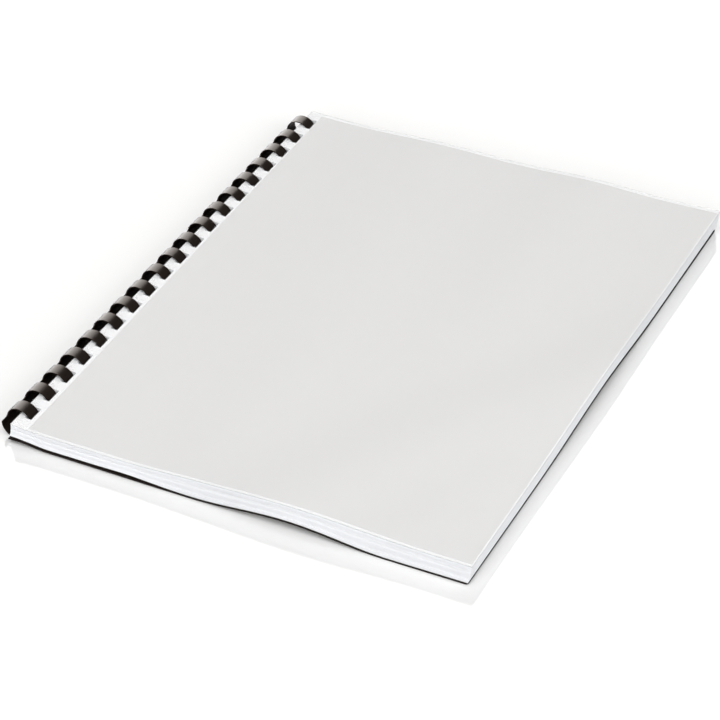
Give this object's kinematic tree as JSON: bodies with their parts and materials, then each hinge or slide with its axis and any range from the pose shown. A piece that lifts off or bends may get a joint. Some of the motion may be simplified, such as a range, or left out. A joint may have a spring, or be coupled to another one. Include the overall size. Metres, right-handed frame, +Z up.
{
  "type": "comb-bound report",
  "caption": "Letter-size report of loose leaves between a clear front cover and a black back cover, held by a black plastic comb whose rings pass through slots along the spine.",
  "frame": {"origin": "middle of the footprint, on the surface that the report lies on", "axes": "+X from the spine to the fore-edge, +Y along the spine towards the head of the page, +Z up from the back cover to the front cover"},
  "size_m": [0.2231, 0.2794, 0.0127],
  "materials": {
    "comb_plastic": "satin black moulded plastic",
    "back_card": "black cover card with a fine leather grain",
    "leaf_paper": "plain white copier paper",
    "title_paper": "white paper with a plain pale grey panel",
    "clear_film": "clear cover film"
  },
  "bodies": {
    "back_cover": {"back_cover": "back_card"},
    "comb": {"comb": "comb_plastic"},
    "leaves_1": {"leaf_01": "leaf_paper", "leaf_02": "leaf_paper", "leaf_03": "leaf_paper", "leaf_04": "leaf_paper", "leaf_05": "leaf_paper", "leaf_06": "leaf_paper", "leaf_07": "leaf_paper", "leaf_08": "leaf_paper", "leaf_09": "leaf_paper", "leaf_10": "leaf_paper", "leaf_11": "leaf_paper", "leaf_12": "leaf_paper", "leaf_13": "leaf_paper", "leaf_14": "leaf_paper"},
    "leaves_2": {"leaf_15": "leaf_paper", "leaf_16": "leaf_paper", "leaf_17": "leaf_paper", "leaf_18": "leaf_paper", "leaf_19": "leaf_paper", "leaf_20": "leaf_paper", "leaf_21": "leaf_paper", "leaf_22": "leaf_paper", "leaf_23": "leaf_paper", "leaf_24": "leaf_paper", "leaf_25": "leaf_paper", "leaf_26": "leaf_paper", "leaf_27": "leaf_paper", "leaf_28": "leaf_paper"},
    "leaves_3": {"leaf_29": "leaf_paper", "leaf_30": "leaf_paper", "leaf_31": "leaf_paper", "leaf_32": "leaf_paper", "leaf_33": "leaf_paper", "leaf_34": "leaf_paper", "leaf_35": "leaf_paper", "leaf_36": "leaf_paper", "leaf_37": "leaf_paper", "leaf_38": "leaf_paper", "leaf_39": "leaf_paper", "leaf_40": "leaf_paper", "leaf_41": "leaf_paper", "leaf_42": "leaf_paper"},
    "leaves_4": {"leaf_43": "leaf_paper", "leaf_44": "leaf_paper", "leaf_45": "leaf_paper", "leaf_46": "leaf_paper", "leaf_47": "leaf_paper", "leaf_48": "leaf_paper", "leaf_49": "leaf_paper", "leaf_50": "leaf_paper", "leaf_51": "leaf_paper", "leaf_52": "leaf_paper", "leaf_53": "leaf_paper", "leaf_54": "leaf_paper", "leaf_55": "leaf_paper", "leaf_56": "leaf_paper"},
    "title_page": {"title_page": "title_paper"},
    "front_cover": {"front_cover": "clear_film"}
  },
  "joints": [
    {"name": "comb_roll", "type": "hinge", "parent": "back_cover", "child": "comb", "pos_m": [-0.10518, 0, 0.00635], "axis": [0, -1, 0], "range_deg": [0, 29]},
    {"name": "leaves_1_turn", "type": "hinge", "parent": "back_cover", "child": "leaves_1", "pos_m": [-0.10518, 0, 0.00635], "axis": [0, -1, 0], "range_deg": [0, 9]},
    {"name": "leaves_2_turn", "type": "hinge", "parent": "leaves_1", "child": "leaves_2", "pos_m": [-0.10518, 0, 0.00635], "axis": [0, -1, 0], "range_deg": [0, 9]},
    {"name": "leaves_3_turn", "type": "hinge", "parent": "leaves_2", "child": "leaves_3", "pos_m": [-0.10518, 0, 0.00635], "axis": [0, -1, 0], "range_deg": [0, 9]},
    {"name": "leaves_4_turn", "type": "hinge", "parent": "leaves_3", "child": "leaves_4", "pos_m": [-0.10518, 0, 0.00635], "axis": [0, -1, 0], "range_deg": [0, 9]},
    {"name": "title_page_turn", "type": "hinge", "parent": "leaves_4", "child": "title_page", "pos_m": [-0.10518, 0, 0.00635], "axis": [0, -1, 0], "range_deg": [0, 11]},
    {"name": "front_cover_turn", "type": "hinge", "parent": "title_page", "child": "front_cover", "pos_m": [-0.10518, 0, 0.00635], "axis": [0, -1, 0], "range_deg": [0, 100]}
  ],
  "couplings": [
    {"joint": "comb_roll", "follows": "front_cover_turn", "ratio": 0.29}
  ]
}
